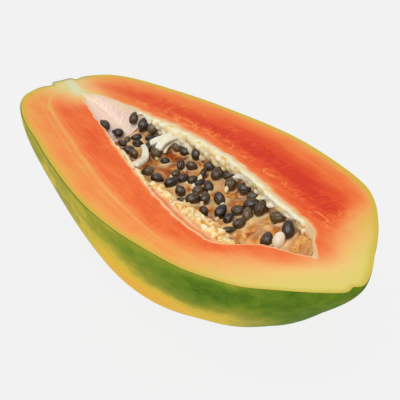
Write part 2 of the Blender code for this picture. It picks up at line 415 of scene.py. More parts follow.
def add_field(mesh, name, values):
    """Stores one number a point."""
    layer = mesh.attributes.new(name, "FLOAT", "POINT")
    layer.data.foreach_set("value", np.asarray(values, np.float32).ravel())


def vertex_rows(mesh, name):
    """A property of the mesh's vertices as rows of three numbers."""
    numbers = np.empty(len(mesh.vertices) * 3)
    mesh.vertices.foreach_get(name, numbers)
    return numbers.reshape(-1, 3)


def add_crests(mesh, rounds):
    """Stores how far each point stands out from the mesh's smoothed form, in metres."""
    points, normals = vertex_rows(mesh, "co"), vertex_rows(mesh, "normal")
    ends = np.empty(len(mesh.edges) * 2, dtype=int)
    mesh.edges.foreach_get("vertices", ends)
    ends = ends.reshape(-1, 2)
    degree = np.bincount(ends.ravel(), minlength=len(points))[:, None]
    smooth = points.copy()
    for _ in range(rounds):
        total_around = np.zeros_like(points)
        np.add.at(total_around, ends[:, 0], smooth[ends[:, 1]])
        np.add.at(total_around, ends[:, 1], smooth[ends[:, 0]])
        smooth = total_around / np.maximum(degree, 1)
    add_field(mesh, "crest", ((points - smooth) * normals).sum(axis=1))


def finish_piece(piece, slot, *nodes):
    """Rides the piece on the fruit and hides the nodes it stands for; the slot is not used."""
    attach(piece, "root")
    if nodes:
        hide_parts(*nodes)


def unit_ball(subdivisions):
    """The points and triangles of an icosphere of radius 1."""
    shape = bmesh.new()
    bmesh.ops.create_icosphere(shape, subdivisions=subdivisions, radius=1.0)
    points = np.array([vertex.co[:] for vertex in shape.verts])
    triangles = np.array([[vertex.index for vertex in face.verts] for face in shape.faces])
    shape.free()
    return points, triangles


# ---- material nodes


def shader_material(name, **settings):
    """A new material, its node tree and its Principled shader with these inputs."""
    material = bpy.data.materials.new(name)
    material.use_nodes = True
    shader = material.node_tree.nodes["Principled BSDF"]
    for socket, value in settings.items():
        shader.inputs[socket.replace("_", " ")].default_value = value
    return material, material.node_tree, shader


def node(tree, kind, settings=None, **inputs):
    """A node; an input, by name or as i and its number, is linked to a socket or set."""
    made = tree.nodes.new(kind)
    for key, value in (settings or {}).items():
        setattr(made, key, value)
    for key, value in inputs.items():
        socket = made.inputs[int(key[1:]) if key[1:].isdigit() else key]
        put(tree, socket, value)
    return made


def put(tree, socket, value):
    """Sets a socket, or links it to another one or to the mesh's field of this name."""
    if isinstance(value, str):
        stored = node(tree, "ShaderNodeAttribute", {"attribute_name": value})
        value = stored.outputs["Fac"]
    if isinstance(value, bpy.types.NodeSocket):
        tree.links.new(value, socket)
    else:
        socket.default_value = value


def compute(tree, operation, a, b=0.0):
    """A Math node's result."""
    return node(tree, "ShaderNodeMath", {"operation": operation}, i0=a, i1=b).outputs[0]


def total(tree, *values):
    """The values added up."""
    return reduce(lambda a, b: compute(tree, "ADD", a, b), values)


def product(tree, *values):
    """The values multiplied together."""
    return reduce(lambda a, b: compute(tree, "MULTIPLY", a, b), values)


def span(tree, value, low, high, start=0.0, end=1.0):
    """The value's way from low to high, smooth and clamped, as start to end."""
    settings = {"interpolation_type": "SMOOTHSTEP"}
    made = node(tree, "ShaderNodeMapRange", settings, i0=value, i1=low, i2=high, i3=start, i4=end)
    return made.outputs[0]


def wandering(tree, value, *layers):
    """The value made uneven by layers of (noise, the most that it adds or takes)."""
    for source, amount in layers:
        value = total(tree, value, span(tree, source, 0.3, 0.7, -amount, amount))
    return value


def mottle(tree, size, detail=3.0, distortion=0.0, stretch=(1, 1, 1)):
    """Noise from 0 to 1 in object space, with features of this size in metres."""
    object_space = node(tree, "ShaderNodeTexCoord").outputs["Object"]
    scale = [1 / (size * factor) for factor in stretch]
    scaled = node(tree, "ShaderNodeMapping", Vector=object_space, Scale=scale).outputs[0]
    settings = {"Scale": 1.0, "Detail": detail, "Roughness": 0.5, "Distortion": distortion}
    return node(tree, "ShaderNodeTexNoise", Vector=scaled, **settings).outputs["Fac"]


def ramp(tree, value, *stops):
    """A colour ramp; each stop is (place, sRGB colour)."""
    made = node(tree, "ShaderNodeValToRGB", i0=value)
    elements = made.color_ramp.elements
    while len(elements) < len(stops):
        elements.new(0.5)
    for element, (at, colour) in zip(elements, stops):
        element.position = at
        element.color = (*linear(colour), 1.0)
    return made.outputs["Color"]


def linear(colour):
    """An sRGB colour of 0 to 255 as linear numbers."""
    return [((c / 255 + 0.055) / 1.055) ** 2.4 if c > 10 else c / 3295 for c in colour]


def mixed(tree, share, a, b):
    """Colour a turned into colour b by the share."""
    made = node(tree, "ShaderNodeMix", {"data_type": "RGBA"}, i0=share)
    for socket, value in ((made.inputs[6], a), (made.inputs[7], b)):
        put(tree, socket, (*linear(value), 1.0) if isinstance(value, tuple) else value)
    return made.outputs[2]


def tinted(tree, colour, *layers):
    """The colour under layers of (share, strength, colour)."""
    for share, strength, other in layers:
        colour = mixed(tree, product(tree, share, strength), colour, other)
    return colour


def finish_shader(tree, shader, colour, height=None, distance=0.0, strength=1.0):
    """Gives the shader its colour, and bump whose height has this distance as its unit."""
    tree.links.new(colour, shader.inputs["Base Color"])
    if height is not None:
        settings = {"Height": height, "Distance": distance, "Strength": strength}
        bumped = node(tree, "ShaderNodeBump", **settings)
        tree.links.new(bumped.outputs[0], shader.inputs["Normal"])


# ---- the fruit's materials


def peel_material():
    """Thin waxy peel: green lobes, yellow to orange grooves, lengthwise mottling."""
    material, tree, shader = shader_material("peel", Roughness=0.5, Specular_IOR_Level=0.01)
    patches = mottle(tree, 0.014, stretch=(2.2, 1, 1))
    spots = mottle(tree, 0.0045, stretch=(1.8, 1, 1))
    flecks = mottle(tree, 0.0012, detail=2.0)
    colour = ramp(
        tree,
        wandering(tree, "green", (patches, 0.06), (spots, 0.05), (flecks, 0.03)),
        (0.0, (248, 182, 60)), (0.2, (240, 194, 54)), (0.38, (218, 190, 62)),
        (0.5, (176, 168, 58)), (0.6, (152, 152, 48)), (0.75, (122, 142, 42)),
        (0.9, (94, 124, 32)), (1.0, (76, 108, 28)),
    )
    colour = tinted(
        tree,
        colour,
        (span(tree, flecks, 0.62, 0.78), 0.25, (186, 196, 104)),
        ("scar", 1, (150, 160, 116)),
        ("spot", 1, (84, 60, 34)),
    )
    finish_shader(tree, shader, colour, spots, 0.0003, 0.4)
    return material


def flesh_material():
    """Moist cut flesh, red-orange by the cavity and yellow under the thin green peel."""
    material, tree, shader = shader_material(
        "flesh",
        Roughness=0.45, Specular_IOR_Level=0.05, Subsurface_Weight=0.15, Subsurface_Scale=0.004,
        Subsurface_Radius=(1.0, 0.35, 0.15),
    )
    clouds = mottle(tree, 0.009, detail=4.0, stretch=(2.0, 1, 1))
    fibres = mottle(tree, 0.0014, detail=2.0, stretch=(2.2, 1, 1))
    streaks = mottle(tree, 0.0020, detail=2.0, stretch=(16, 1, 1))
    uneven = wandering(tree, 0.0, (clouds, 0.055), (fibres, 0.02), (streaks, 0.035))
    uneven = product(tree, uneven, span(tree, "pale", 0.0, 1.0, 1.0, 0.3))
    ripe = total(tree, "ripe", uneven, product(tree, veins(tree), -0.36))
    warm = ramp(
        tree,
        ripe,
        (0.0, (224, 178, 70)), (0.15, (239, 164, 84)), (0.35, (243, 142, 76)),
        (0.55, (241, 118, 60)), (0.75, (230, 86, 42)), (1.0, (214, 58, 34)),
    )
    pale = ramp(
        tree,
        ripe,
        (0.0, (222, 208, 112)), (0.2, (238, 202, 122)), (0.4, (244, 182, 114)),
        (0.6, (244, 162, 104)), (1.0, (242, 128, 68)),
    )
    peel_line = span(tree, "peel_mm", 0.2, 0.8, 1.0, 0.0)
    colour = tinted(
        tree,
        warm,
        ("pale", 1, pale),
        ("core", 1, (222, 222, 184)),
        (span(tree, "peel_mm", 0.0, 4.4, 0.8, 0.0), 1, (204, 182, 64)),
        (product(tree, peel_line, "lined"), 1, (96, 102, 26)),
        ("stem_rim", 1, (156, 168, 122)),
        ("edge", 1, (244, 202, 146)),
    )
    finish_shader(tree, shader, colour, fibres, 0.00025, 0.5)
    return material


def veins(tree):
    """Pale wisps in the red flesh: a band of them along the cavity, fainter ones beyond."""
    wisps = mottle(tree, 0.0045, stretch=(2.6, 1, 1), distortion=0.5)
    ticks = mottle(tree, 0.0045, detail=2.0, stretch=(0.8, 2.2, 1), distortion=0.6)
    patches = mottle(tree, 0.015, detail=1.0, stretch=(1.5, 1, 1))
    line = product(
        tree,
        thin_line(tree, wisps, 0.07),
        span(tree, "hollow_mm", 4.5, 7.5),
        span(tree, "hollow_mm", 16.0, 9.0),
        span(tree, patches, 0.38, 0.52),
    )
    tick = product(
        tree,
        thin_line(tree, ticks, 0.06),
        0.5,
        span(tree, "hollow_mm", 7.0, 10.0),
        span(tree, "hollow_mm", 27.0, 20.0),
        span(tree, patches, 0.66, 0.5),
    )
    return product(tree, compute(tree, "MAXIMUM", line, tick), "veined")


def thin_line(tree, source, width):
    """1 where the noise crosses its middle, falling to 0 this far from it."""
    off_middle = compute(tree, "ABSOLUTE", compute(tree, "SUBTRACT", source, 0.5))
    return span(tree, off_middle, width, 0.0)


def lining_material():
    """The cavity's wall: a pale pink membrane at the stem end, wet peach flesh beyond."""
    material, tree, shader = shader_material(
        "lining",
        Roughness=0.4, Specular_IOR_Level=0.15, Subsurface_Weight=0.2, Subsurface_Scale=0.004,
        Subsurface_Radius=(1.0, 0.5, 0.3),
    )
    clouds = mottle(tree, 0.006, detail=4.0)
    strands = mottle(tree, 0.0011, stretch=(0.8, 2.2, 2.2), distortion=0.4)
    membrane = ramp(
        tree,
        strands,
        (0.3, (240, 206, 190)), (0.5, (248, 224, 210)), (0.7, (252, 240, 228)),
    )
    membrane = tinted(
        tree, membrane, ("shady", 1, (240, 213, 198)), ("rind", 1, (255, 234, 200))
    )
    flesh = ramp(
        tree,
        clouds,
        (0.3, (200, 116, 52)), (0.5, (226, 156, 90)), (0.7, (242, 194, 132)),
    )
    flesh = tinted(tree, flesh, ("blossom", 1, (255, 226, 184)))
    colour = tinted(
        tree,
        membrane,
        ("inner", 1, flesh),
        ("ridge", 1, (236, 226, 180)),
        # Partly painted light: the cream strip at the top of the far wall.
        ("far_rim", 1, (250, 228, 184)),
    )
    finish_shader(tree, shader, colour, strands, 0.0002, 0.4)
    return material


# ---- the fruit


def greenness(share, angle):
    """How green the peel is: green crests and yellow grooves, most so past the middle, a little
    less green close to the cut, and lighter and yellower along the far rim as painted light."""
    turned = from_groove(share, angle) + math.radians(3) * step(0.5, 0.65, share)
    crest = (0.5 - 0.5 * np.cos(LOBES * turned)) ** 1.15
    in_groove = through(GROOVE_GREEN, share)
    from_cut = np.minimum(angle, math.pi - angle)
    bleached = 0.15 * step(0.09, 0.0, from_cut)
    bleached = bleached * step(0.6, 0.75, share) * step(0.95, 0.88, share)
    green = in_groove + (through(CREST_GREEN, share) - in_groove) * crest - bleached
    # Painted light: the peel along the far rim, which faces away from the key light, is set to a
    # lighter, yellower tone.
    far_rim = step(0.12, 0.03, math.pi - angle)
    return green * (1 - far_rim) + 0.3 * far_rim


def ripeness(across, ripening, share, inward, end):
    """How ripe the flesh is; towards the blossom end the profile across it changes."""
    profile = through(across, inward) * (1 - end) + through(END_RIPENESS, inward) * end
    return profile * through(ripening, share)


def pale_streaks(share, inward):
    """How strong the pale streaks of the near side are."""
    streak = 0.0
    for offset, width, strength in STREAKS:
        streak = streak + strength * bump(through(STREAK_PATH, share) + offset, width, inward)
    return streak * step(0.0, 0.02, share) * step(0.8, 0.6, share)


def face_fields(points, inward, far):
    """The cut face's fields at its points; inward is 0 at the peel and 1 at the cavity."""
    share = points[..., 0] / LENGTH + 0.5
    row = np.linspace(0, 1, len(points))[:, None]
    apart = step(0, 0.06, row) * step(1, 0.94, row)

    def sided(near_values, far_values):
        """This side's values, or the mean of both where the sides meet."""
        own = far_values if far else near_values
        return (near_values + far_values) / 2 * (1 - apart) + own * apart

    ripe = sided(
        ripeness(NEAR_RIPENESS, NEAR_RIPENING, share, inward, step(0.60, 0.80, share)),
        ripeness(FAR_RIPENESS, FAR_RIPENING, share, inward, step(0.77, 0.86, share)),
    )
    paler = sided(step(0.72, 0.95, share), step(0.78, 0.97, share))
    paler = paler * (1 - 0.7 * step(0.55, 0.8, inward) * step(0.93, 0.86, share))
    streak = 0.0 if far else pale_streaks(share, inward)
    width = np.linalg.norm(points[:, :1] - points[:, -1:], axis=-1)
    peel_mm = 1000 * inward * width
    hollow_mm = 1000 * (1 - inward) * width
    off_axis = points[..., 1] - through(BOW, share)
    woody = bump(0, 0.013, off_axis) * step(0.19, 0.09, share)
    core = bump(0.003 * step(0.09, 0.0, share), 0.0038, off_axis) * step(0.12, 0.08, share)
    around_core = 0.35 * bump(0, 0.011, off_axis) * step(0.10, 0.04, share)
    green_rim = 0.7 * step(2.2, 0.4, hollow_mm) * step(0.24, 0.16, share) if far else 0.0
    edge_mm = through(FAR_EDGE_MM if far else NEAR_EDGE_MM, share)
    edge_mm = edge_mm * (1 + 0.3 * rough(points, 0.005, seed=9))
    return {
        "ripe": ripe * (1 - 0.7 * woody) - streak,
        "pale": np.maximum(paler, np.maximum(0.95 * woody, 1.1 * streak)),
        "core": np.maximum(np.maximum(core, around_core), green_rim),
        "peel_mm": peel_mm,
        "lined": (0.0 if far else 1.0) * apart * step(0.03, 0.1, share),
        "stem_rim": step(1.7, 0.7, peel_mm) * step(0.018, 0.012, share),
        "hollow_mm": hollow_mm,
        "edge": 0.9 * step(1.3, 0.2, hollow_mm / edge_mm),
        "veined": (1.0 if far else 0.2) * step(0.15, 0.25, share) * step(0.88, 0.8, share),
    }


def cut_face(rim, edge, far):
    """One side of the cut face, from the peel's rim to the cavity's edge."""
    inward = np.linspace(0, 1, FACE_ACROSS)[None, :]
    points = rim[:, None] * (1 - inward[..., None]) + edge[:, None] * inward[..., None]
    sunk = 0.00012 * (1 + rough(points, 0.007)) + 0.00005 * (1 + rough(points, 0.0018))
    points[..., 2] -= sunk * (step(0, 0.03, inward) * step(1, 0.97, inward))
    return points, face_fields(points, inward + 0 * points[..., 0], far)


def cavity_wall():
    """The cavity's wall with its folds, and its fields."""
    share = cavity_shares(RINGS)[:, None]
    angle = np.linspace(0, math.pi, WALL_AROUND)[None, :]
    turn = angle / math.pi
    plain = wall_points(share, angle)
    ends = step(CAVITY[0][0], 0.13, share) * step(CAVITY[-1][0], 0.86, share)
    folds = 0.0003 * rough(plain, 0.006, seed=1) + 0.0001 * rough(plain, 0.0018, seed=2)
    line = math.pi * through(MEMBRANE_LINE, share)
    ridge = bump(line, 0.075, angle) * step(0.36, 0.28, share) * step(0.1, 0.13, share)
    points = wall_points(share, angle, (folds + 0.0008 * ridge) * ends)
    fields = {
        "inner": step(0.26, 0.34, share) * (1 - 0.6 * step(0.84, 0.89, share)) + 0 * angle,
        "blossom": 0.8 * step(0.79, 0.84, share) + 0 * angle,
        # A cream strip at the top of the far wall: partly the pale tissue there, partly painted
        # light that lifts the shade in the corner under the crown.
        "far_rim": step(0.90, 0.96, turn) * step(0.24, 0.30, share) * step(0.88, 0.82, share),
        "ridge": np.maximum(0.6 * ridge, 0.8 * step(0.125, 0.095, share)),
        "shady": step(line + 0.02, line - 0.12, angle) + 0 * share,
        "rind": step(0.88, 0.95, turn) * step(0.13, 0.2, share),
    }
    return points, fields


def fruit():
    """The whole half as one closed mesh: peel, cut face and cavity wall."""
    wall, wall_fields = cavity_wall()
    near, near_fields = cut_face(SKIN[:, 0], wall[:, 0], far=False)
    far, far_fields = cut_face(SKIN[:, -1], wall[:, -1], far=True)
    share = outline_at(SKIN_TURNS)[0][:, None]
    skin_fields = {
        "green": greenness(share, SKIN_ANGLES[None, :]),
        "scar": step(0.016, 0.006, share) + 0 * SKIN_ANGLES[None, :],
        "spot": bump(0, 0.0014, np.linalg.norm(SKIN - STEM_SPOT, axis=-1)),
    }
    grids = (SKIN, near, far, wall)
    fields = (skin_fields, near_fields, far_fields, wall_fields)
    share_edges(*fields)
    faces, worn, first = [], [], 0
    for grid, material in zip(grids, (0, 1, 1, 2)):
        rows, across = grid.shape[:2]
        faces.append(grid_faces(rows, across, first))
        worn.append(np.full(len(faces[-1]), material))
        first += rows * across
    joined = {}
    for name in sorted(skin_fields):
        joined[name] = np.concatenate([np.ravel(own[name]) for own in fields])
    piece = mesh_piece(
        "papaya_fruit",
        np.concatenate([to_frame(grid.reshape(-1, 3)) for grid in grids]),
        np.concatenate(faces),
        joined,
        (peel_material(), flesh_material(), lining_material()),
        np.concatenate(worn),
    )
    piece.data.set_sharp_from_angle(angle=math.radians(50))
    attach(piece, "root")
    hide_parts("papaya_half")


def share_edges(skin, near, far, wall):
    """Gives each grid its neighbours' fields too, so both agree where they are welded."""
    skin_left = np.arange(PEEL_AROUND)[None, :] < PEEL_AROUND / 2
    wall_left = np.arange(WALL_AROUND)[None, :] < WALL_AROUND / 2
    face_names, wall_names, skin_names = list(near), list(wall), list(skin)
    across = np.zeros((1, FACE_ACROSS))
    for name in face_names:
        skin[name] = np.where(skin_left, near[name][:, :1], far[name][:, :1])
        wall[name] = np.where(wall_left, near[name][:, -1:], far[name][:, -1:])
    for name in skin_names:
        near[name] = skin[name][:, :1] + across
        far[name] = skin[name][:, -1:] + across
        wall[name] = np.zeros((RINGS, WALL_AROUND))
    for name in wall_names:
        near[name] = wall[name][:, :1] + across
        far[name] = wall[name][:, -1:] + across
        skin[name] = np.zeros((RINGS, PEEL_AROUND))


# ---- places in the cavity


def share_at(along):
    """The share of the length at this many metres from the fruit's middle."""
    return along / LENGTH + 0.5


def wall_depth(share, side):
    """The wall's depth at a side from -1, the near edge, to 1, the far edge."""
    depth = cavity_section(share)[2]
    return depth * np.maximum(1 - side**2, 0) ** (CAVITY_SQUARENESS / 2)


def pulp_depth(share, side):
    """The depth of the pulp's even surface: a floor, and the shelf on the near wall."""
    inward = (side + 1) * cavity_section(share)[1]
    width, shelf = shelf_at(share)
    rise = PULP_FAR_RISE * step(0.2, 1, side) + PULP_NEAR_RISE * step(-0.3, -1, side)
    floor = through(PULP, share) - rise
    slope = SHELF_RIM + (shelf - SHELF_RIM) * np.clip(inward / np.maximum(width, MM), 0, 1) ** 1.3
    groove = 0.0007 * bump(0.0022, 0.0010, inward)
    on_shelf = step(0, 0.003, width) * step(width + 0.0025, width, inward)
    return (slope + groove) * on_shelf + floor * (1 - on_shelf)


def shelf_at(share):
    """The shelf's width, and the depth of its inner edge."""
    along = (share - 0.5) * LENGTH / MM
    return np.maximum(table(SHELF, 1, along) * MM, 0), table(SHELF, 2, along) * MM


def place(along, side, depth):
    """The point this deep at this side of the cavity."""
    middle, half, _ = cavity_section(share_at(along))
    return np.array([along, middle + side * half, -depth])


def pulp_edge(share, direction):
    """The side where the pulp meets the wall, towards -1 or 1."""
    side = direction * 0.9 + 0 * share
    depth = cavity_section(share)[2]
    for _ in range(12):
        sunk = np.minimum(pulp_depth(share, side) / depth, 1)
        side = direction * np.sqrt(1 - sunk ** (2 / CAVITY_SQUARENESS))
    return side


# ---- seeds


def seed_length(along):
    """Seeds are longer towards the blossom end."""
    return 0.0062 + 0.0021 * step(0.35, 0.78, share_at(along))


def seed_axis(turn):
    """The direction of a seed's tip."""
    level, slope = math.radians(SEED_PLANE_TURN), math.radians(SEED_PLANE_SLOPE)
    flat, turn = math.cos(slope), math.radians(turn)
    along = Vector((math.cos(level), math.sin(level), 0))
    up = Vector((-math.sin(level) * flat, math.cos(level) * flat, math.sin(slope)))
    return math.cos(turn) * along + math.sin(turn) * up


def seed_places():
    """Every seed's kind, place, tip direction and length; the pale one comes last."""
    rng = np.random.default_rng(11)
    rows = [(kind, *seed) for kind, listed in SEEDS.items() for seed in listed]
    for along in np.arange(*NEAR_ROW_MM):
        along += rng.uniform(-2.5, 2.5)
        rows.append(("plump", along, NEAR_ROW, rng.uniform(0, 180), rng.uniform(0.85, 1.1)))
    rows.append(("pale", *PALE_SEED))
    made = []
    for kind, along, side, turn, size in rows:
        share = share_at(along * MM)
        length = seed_length(along * MM) * size * (1 + 0.06 * step(0.6, 0.8, side))
        lift = (0.30 + 0.15 * abs(math.sin(math.radians(turn)))) * length
        depth = min(pulp_depth(share, side), wall_depth(share, side)) - lift
        made.append([kind, place(along * MM, side, depth), seed_axis(turn), length])
    return pushed_apart(made)


def pushed_apart(placed):
    """The same seeds with their centres moved until none sits deep in another."""
    centres = np.array([seed[1] for seed in placed])
    sizes = np.array([seed[3] for seed in placed]) * 0.40
    for _ in range(60):
        gaps = centres[:, None] - centres[None]
        distance = np.linalg.norm(gaps, axis=-1) + np.eye(len(placed))
        overlap = np.maximum(sizes[:, None] + sizes[None] - distance, 0) * (1 - np.eye(len(placed)))
        centres += 0.25 * (gaps / distance[..., None] * overlap[..., None]).sum(axis=1)
    for seed, centre in zip(placed, centres):
        seed[1] = centre
    return placed


def seed_shape(kind, ball, rng):
    """A seed one unit long round the origin, its tip towards +X."""
    x, y, z = ball.T
    wide, thick, folds, _ = SEED_KINDS[kind]
    girth = 1 - 0.06 * x
    if kind == "pointed":
        girth = girth * (1 - 0.38 * step(0.2, 1, x))
    wave = np.abs(np.sin(3.5 * np.arctan2(z, y) + 1.3 * x + rng.uniform(0, 6))) - 0.5
    girth = girth * (1 + folds * wave * (1 - x * x))
    shape = np.stack([x, y * wide * girth, z * thick * girth], axis=1) / 2
    shape[:, 1] += 0.05 * rng.uniform(-1, 1) * (1 - x * x)
    swell = rough(ball + rng.uniform(-50, 50, 3), 1.1)
    return shape * (1 + 0.07 * swell[:, None])


def seeds():
    """All the dark seeds as one piece, and the pale one."""
    rng = np.random.default_rng(5)
    shapes, tones = [], []
    ball, triangles = unit_ball(4)
    for kind, centre, axis, length in SEED_PLACES:
        spin = Matrix.Rotation(rng.uniform(0, 6.3), 3, "X")
        turn = np.array(axis.to_track_quat("X", "Z").to_matrix() @ spin)
        shapes.append(seed_shape(kind, ball, rng) * length @ turn.T + centre)
        tones.append(np.full(len(ball), SEED_KINDS[kind][3] + rng.uniform(-0.42, 0.3)))
    *dark, pale = shapes
    faces = np.concatenate([triangles + len(ball) * i for i in range(len(dark))])
    around = np.arctan2(ball[:, 2], ball[:, 1])
    lines = np.cos(9 * around + 2 * np.sin(2 * ball[:, 0])) * (1 - ball[:, 0] ** 2)
    fields = {"tone": np.concatenate(tones[:-1]), "lines": np.tile(lines, len(dark))}
    points = to_frame(np.concatenate(dark))
    piece = mesh_piece("seeds", points, faces, fields, [seed_material()])
    finish_piece(piece, "seeds")
    _, centre, _, length = SEED_PLACES[-1]
    ring = np.linalg.norm((pale - centre) / length - np.array([0.2, -0.14, 0.36]), axis=1)
    material = pale_seed_material()
    piece = mesh_piece("pale_seed", to_frame(pale), triangles, {"ring": ring}, [material])
    finish_piece(piece, "seeds")


def seed_material():
    """Dark seeds, olive grey to brown black, in a clear wet film."""
    material, tree, shader = shader_material(
        "seed",
        Roughness=0.33, Specular_IOR_Level=0.5, Coat_Weight=0.5, Coat_Roughness=0.12,
    )
    grain = mottle(tree, 0.0012, detail=4.0)
    tone = wandering(tree, "tone", (grain, 0.2))
    # Painted highlight: the colour is lighter along the ridges of the lengthwise lines, as streaks
    # of highlight.
    colour = ramp(
        tree,
        total(tree, tone, product(tree, "lines", 0.16)),
        (0.0, (30, 14, 10)), (0.35, (54, 33, 14)), (0.65, (82, 60, 29)), (1.0, (106, 87, 52)),
    )
    height = total(tree, grain, product(tree, "lines", 0.7))
    finish_shader(tree, shader, colour, height, 0.0003, 0.6)
    return material


def pale_seed_material():
    """An unripe cream seed with rings."""
    material, tree, shader = shader_material(
        "pale_seed", Roughness=0.4, Subsurface_Weight=0.3, Subsurface_Scale=0.002
    )
    wave = span(tree, compute(tree, "SINE", product(tree, "ring", 46.0)), -1, 1)
    colour = ramp(tree, wave, (0.0, (234, 217, 192)), (1.0, (244, 232, 212)))
    finish_shader(tree, shader, colour)
    return material


# ---- pulp


def pulp_top(share, near, far):
    """The pulp's upper surface between its edges, with its relief and its fields."""
    u = np.linspace(0, 1, PULP_ACROSS)[None, :]
    side = near * (1 - u) + far * u
    middle, half, _ = cavity_section(share)
    inward = (side + 1) * half
    x = (share - 0.5) * LENGTH + 0 * side
    flat = np.stack([x, middle + half * side, -pulp_depth(share, side)], axis=-1)
    centres = np.array([seed[1] for seed in SEED_PLACES])
    lengths = np.array([seed[3] for seed in SEED_PLACES])
    gaps = np.linalg.norm(flat[:, :, None] - centres[None, None], axis=-1) / lengths
    nearest = gaps.min(axis=-1)
    nest = bump(0.3, 0.35, nearest)
    collar = bump(0.64, 0.18, nearest) * step(-0.3, 0.4, rough(flat, 0.012, seed=14))
    width = shelf_at(share)[0]
    on_shelf = step(0.0, 0.003, width) * step(0.003, -0.001, inward - width)
    off_shelf = 1 - on_shelf
    strands = np.maximum(ridges(flat * [0.8, 1.0, 1.0], 0.011, seed=3), 0)
    grainy = step(0.58, 0.70, share) + 0 * side
    lumps = np.maximum(rough(flat, 0.0042, seed=21), -0.15) + 0.4 * rough(flat, 0.0019, seed=22)
    hollow = bump(HOLLOW_ALONG, 0.0045, x) * bump(HOLLOW_SIDE, 0.16, side)
    height = 0.0012 * rough(flat, 0.009, seed=4) + 0.0009 * strands**2
    height += 0.0002 * rough(flat, 0.003, seed=5)
    height += 0.0005 * collar + 0.0009 * nest
    height += 0.0010 * grainy * lumps - 0.0030 * hollow
    flat[..., 2] += height * (1 - 0.85 * on_shelf)
    fields = {
        "collar": collar * off_shelf,
        # Painted sheen: a pale ring on the pulp round each seed stands in for the sheen of its
        # clear film.
        "sheen_ring": bump(0.57, 0.06, nearest),
        "end": step(0.79, 0.85, share) + 0 * nearest,
        "grainy": grainy * off_shelf * (1 - 0.6 * hollow),
        "strand": strands * off_shelf,
        # A red line along the shelf's groove: painted shade in the seam.
        "groove": bump(0.0026, 0.0009, inward) * on_shelf * step(0.002, 0.007, width),
        "shelf": on_shelf,
        "strip": on_shelf * step(0.0065, 0.0045, inward),
    }
    return flat, fields


def pulp():
    """The pulp between and under the seeds, a closed form that fills the cavity's floor."""
    share = np.linspace(*PULP_ENDS, PULP_RINGS)[:, None]
    near, far = pulp_edge(share, -1), pulp_edge(share, 1)
    top, fields = pulp_top(share, near - 0.012, far + 0.012)
    u = np.linspace(1, 0, PULP_ACROSS)[None, :]
    angle = np.arccos(-near) * (1 - u) + np.arccos(-far) * u
    bottom = wall_points(share, angle, inward=-0.0004)
    bottom[:, 0] = top[:, -1]
    bottom[:, -1] = top[:, 0]
    ring = np.concatenate([top, bottom], axis=1)
    for name, values in fields.items():
        fields[name] = np.concatenate([values, 0 * values], axis=1)
    faces = grid_faces(*ring.shape[:2])
    piece = mesh_piece("pulp", to_frame(ring.reshape(-1, 3)), faces, fields, [pulp_material()])
    add_crests(piece.data, 12)
    finish_piece(piece, "pulp", "seed_bed")


def pulp_material():
    """Wet translucent pulp: orange and brown, with painted shade darkening its hollows and painted
    light on its crests; peach and cream on its strands, and a painted sheen ring round each seed.
    """
    material, tree, shader = shader_material(
        "pulp",
        Roughness=0.35, Specular_IOR_Level=0.18, Subsurface_Weight=0.25, Subsurface_Scale=0.003,
        Subsurface_Radius=(1.0, 0.6, 0.25), Coat_Weight=0.05, Coat_Roughness=0.2,
    )
    flecks = mottle(tree, 0.0018)
    patches = mottle(tree, 0.007, detail=2.0)
    grain = mottle(tree, 0.002, detail=2.0, stretch=(4, 1, 1))
    clouds = span(tree, mottle(tree, 0.007), 0.3, 0.7, 0.0, 0.62)
    # Painted shade and light: the lightness that picks the colour falls in the relief's hollows and
    # rises on its crests.
    light = total(tree, product(tree, "crest", 1100.0), clouds)
    light = wandering(tree, light, (flecks, 0.12))
    colour = ramp(
        tree,
        light,
        (0.0, (126, 48, 12)), (0.2, (166, 80, 24)), (0.45, (194, 110, 38)),
        (0.7, (222, 154, 68)), (1.0, (244, 206, 138)),
    )
    grainy = ramp(
        tree,
        light,
        (0.0, (172, 88, 30)), (0.35, (218, 146, 64)), (0.65, (240, 190, 112)),
        (1.0, (250, 222, 160)),
    )
    colour = tinted(
        tree,
        colour,
        ("grainy", 0.8, grainy),
        ("collar", 0.65, (242, 208, 142)),
        (span(tree, "strand", 0.7, 1.0), 0.35, (244, 216, 160)),
        ("end", 0.4, (244, 198, 138)),
        # Painted sheen round each seed.
        ("sheen_ring", 0.6, (246, 222, 176)),
        ("shelf", 1, ramp(tree, patches, (0.35, (236, 166, 104)), (0.6, (246, 208, 146)))),
        ("strip", 0.8, ramp(tree, grain, (0.35, (244, 152, 96)), (0.6, (252, 208, 152)))),
        # Painted shade: the red line in the shelf's groove.
        ("groove", 0.7, (222, 98, 66)),
    )
    finish_shader(tree, shader, colour, flecks, 0.0003, 0.4)
    return material


# ---- ridges and stalks


def on_wall(along, depth, direction, inward=0.0):
    """The point of the far (1) or near (-1) wall at this depth, moved inward."""
    limit = cavity_section(share_at(along))[2]
    side = direction * math.sqrt(1 - min(depth / limit, 0.98) ** (2 / CAVITY_SQUARENESS))
    centre = place(along, side, depth)
    centre[1] -= direction * inward
    return centre


